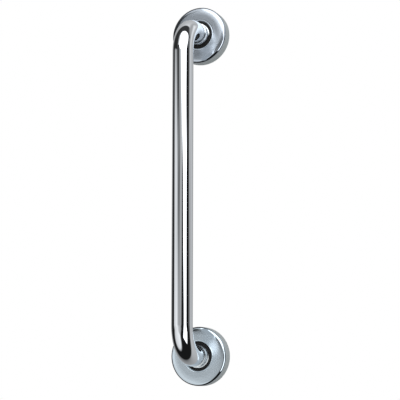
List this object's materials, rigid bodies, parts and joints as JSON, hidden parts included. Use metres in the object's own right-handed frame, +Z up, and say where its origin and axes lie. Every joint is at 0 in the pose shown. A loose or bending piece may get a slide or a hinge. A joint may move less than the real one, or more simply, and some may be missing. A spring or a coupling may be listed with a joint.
{
  "type": "grab rail",
  "caption": "Straight stainless grab rail: a round tube bent square at both ends, on round screw-on wall plates under slide-off covers with black seal rings.",
  "frame": {"origin": "centre of the lower wall plate's screw circle, on the plane of the wall (the back of the gasket)", "axes": "+Z up along the bar to the upper plate, -Y out of the wall towards the hand, +X to the right of someone facing the rail"},
  "size_m": [0.071, 0.1041, 0.471],
  "materials": {
    "polished_tube": "mirror-polished stainless steel",
    "cover_steel": "polished drawn stainless sheet with a faint turned grain on the face",
    "plate_steel": "mill-finish stainless, turned faces",
    "weld_metal": "rippled TIG bead, lightly heat tinted",
    "screw_steel": "bright passivated stainless",
    "seal_rubber": "matt black moulded rubber",
    "gasket_rubber": "matt black sheet rubber with a faint cloth print"
  },
  "bodies": {
    "rail": {"rail_tube": "polished_tube", "upper_wall_plate": "plate_steel", "upper_wall_gasket": "gasket_rubber", "upper_weld_bead": "weld_metal", "upper_screw_right": "screw_steel", "upper_screw_left": "screw_steel", "upper_screw_bottom": "screw_steel", "lower_wall_plate": "plate_steel", "lower_wall_gasket": "gasket_rubber", "lower_weld_bead": "weld_metal", "lower_screw_right": "screw_steel", "lower_screw_left": "screw_steel", "lower_screw_bottom": "screw_steel"},
    "upper_seal_ring": {"upper_seal_ring": "seal_rubber"},
    "upper_cover": {"upper_cover": "cover_steel"},
    "lower_seal_ring": {"lower_seal_ring": "seal_rubber"},
    "lower_cover": {"lower_cover": "cover_steel"}
  },
  "joints": [
    {"name": "upper_cover_slide", "type": "slide", "parent": "rail", "child": "upper_seal_ring", "axis": [0, -1, 0], "range_m": [0, 0.014]},
    {"name": "upper_cover_turn", "type": "hinge", "parent": "upper_seal_ring", "child": "upper_cover", "pos_m": [0, -0.015, 0.4], "axis": [0, -1, 0], "continuous": true},
    {"name": "lower_cover_slide", "type": "slide", "parent": "rail", "child": "lower_seal_ring", "axis": [0, -1, 0], "range_m": [0, 0.014]},
    {"name": "lower_cover_turn", "type": "hinge", "parent": "lower_seal_ring", "child": "lower_cover", "pos_m": [0, -0.015, 0], "axis": [0, -1, 0], "continuous": true}
  ]
}
